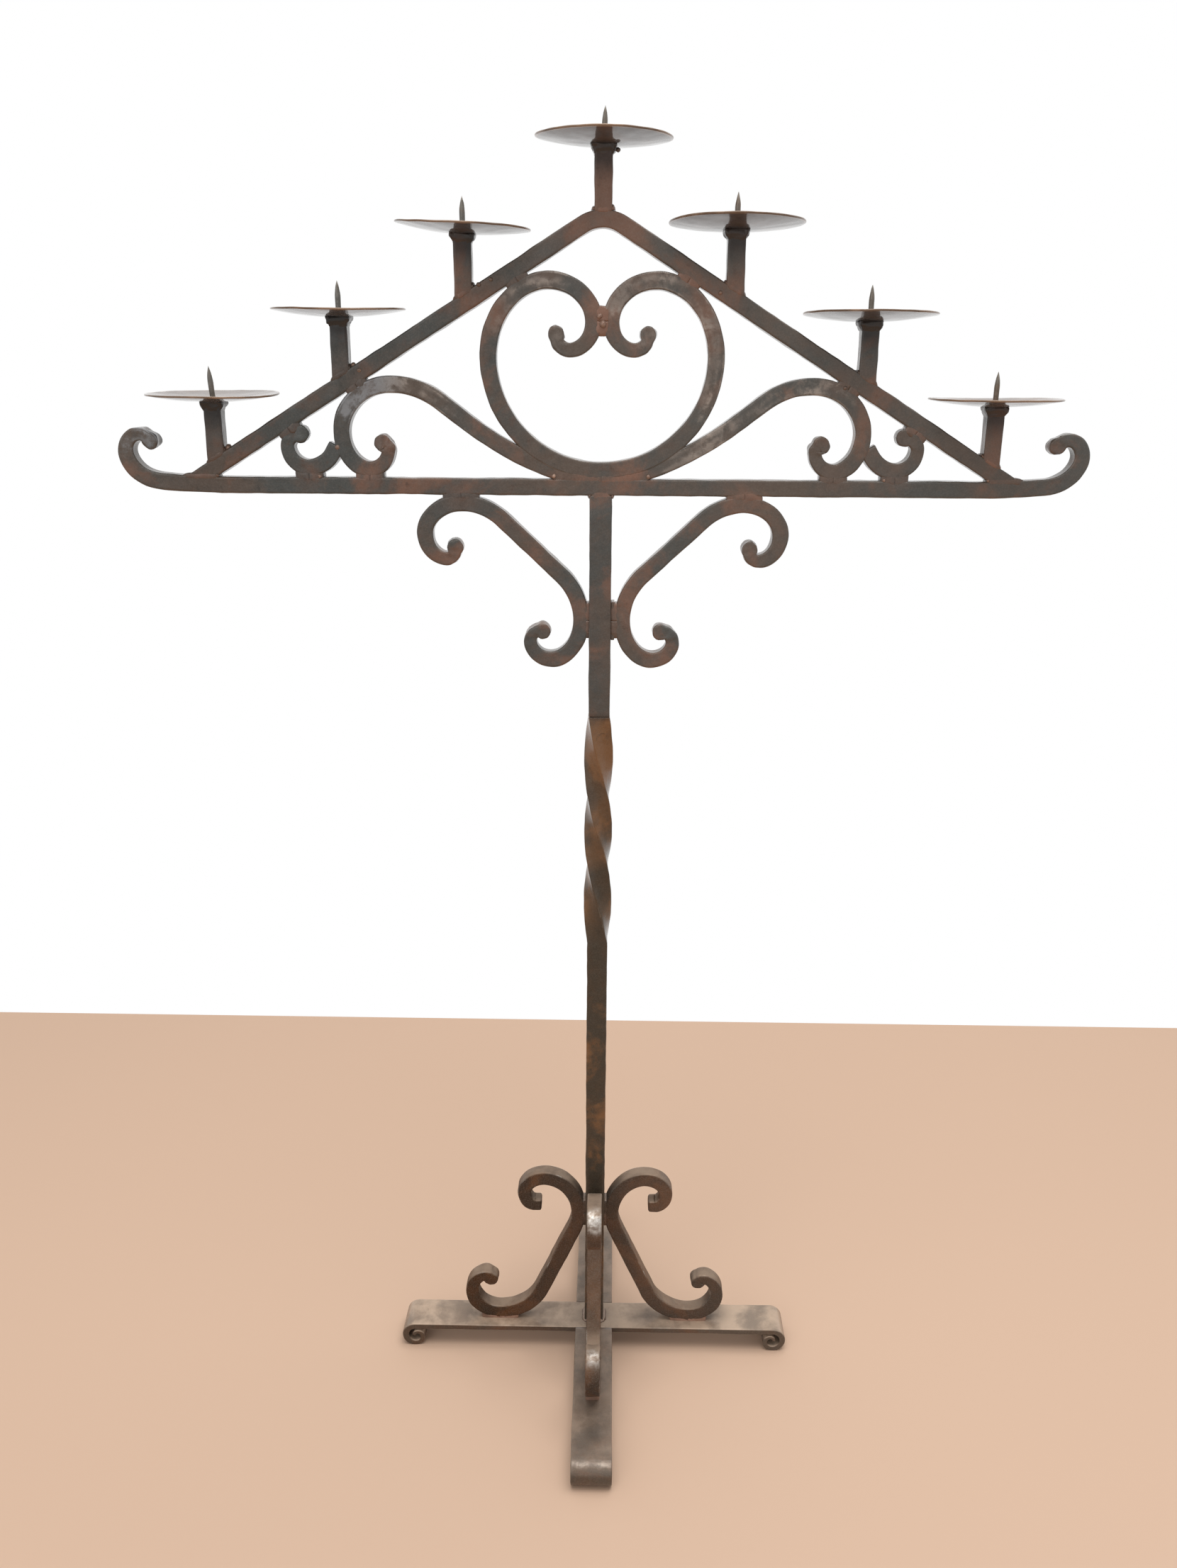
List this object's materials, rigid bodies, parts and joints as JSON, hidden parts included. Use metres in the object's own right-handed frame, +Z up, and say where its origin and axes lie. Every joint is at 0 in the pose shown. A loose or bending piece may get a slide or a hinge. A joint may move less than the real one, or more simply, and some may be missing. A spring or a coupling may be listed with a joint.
{
  "type": "floor candelabra",
  "caption": "Free-standing welded wrought-iron pricket candelabra: gable of drip pans over a heart and scrolls, on a part-twisted post with rolled cross feet.",
  "frame": {"origin": "on the floor, under the middle of the post", "axes": "+Z up, X along the rail with the packing plate at +X, front at -Y"},
  "size_m": [1.0672, 0.5242, 1.5358],
  "materials": {
    "wrought_iron": "satin dark grey-brown patina with rust mottling",
    "foot_iron": "satin, worn lighter on top",
    "pan_iron": "satin with brown rust",
    "spike_steel": "satin, worn",
    "weld_metal": "rough, with reddish tint"
  },
  "bodies": {
    "root": {"foot_bar": "foot_iron", "front_foot": "foot_iron", "rear_foot": "foot_iron", "lower_post": "wrought_iron", "upper_post": "wrought_iron", "base_scroll_left": "wrought_iron", "base_scroll_right": "wrought_iron", "base_scroll_front": "wrought_iron", "base_scroll_rear": "wrought_iron", "rail": "wrought_iron", "gable": "wrought_iron", "heart_scroll": "wrought_iron", "side_scroll_left": "wrought_iron", "side_scroll_right": "wrought_iron", "small_scroll_left": "wrought_iron", "small_scroll_right": "wrought_iron", "bracket_left": "wrought_iron", "bracket_right": "wrought_iron", "bracket_spacer": "wrought_iron", "stem_1": "wrought_iron", "stem_2": "wrought_iron", "stem_3": "wrought_iron", "stem_4": "wrought_iron", "stem_5": "wrought_iron", "stem_6": "wrought_iron", "stem_7": "wrought_iron", "pan_1": "pan_iron", "pan_2": "pan_iron", "pan_3": "pan_iron", "pan_4": "pan_iron", "pan_5": "pan_iron", "pan_6": "pan_iron", "pan_7": "pan_iron", "spike_1": "spike_steel", "spike_2": "spike_steel", "spike_3": "spike_steel", "spike_4": "spike_steel", "spike_5": "spike_steel", "spike_6": "spike_steel", "spike_7": "spike_steel", "welds_base": "weld_metal", "welds_brackets": "weld_metal", "welds_rail": "weld_metal", "welds_gable": "weld_metal", "welds_stems": "weld_metal", "welds_pans": "weld_metal"}
  },
  "joints": []
}
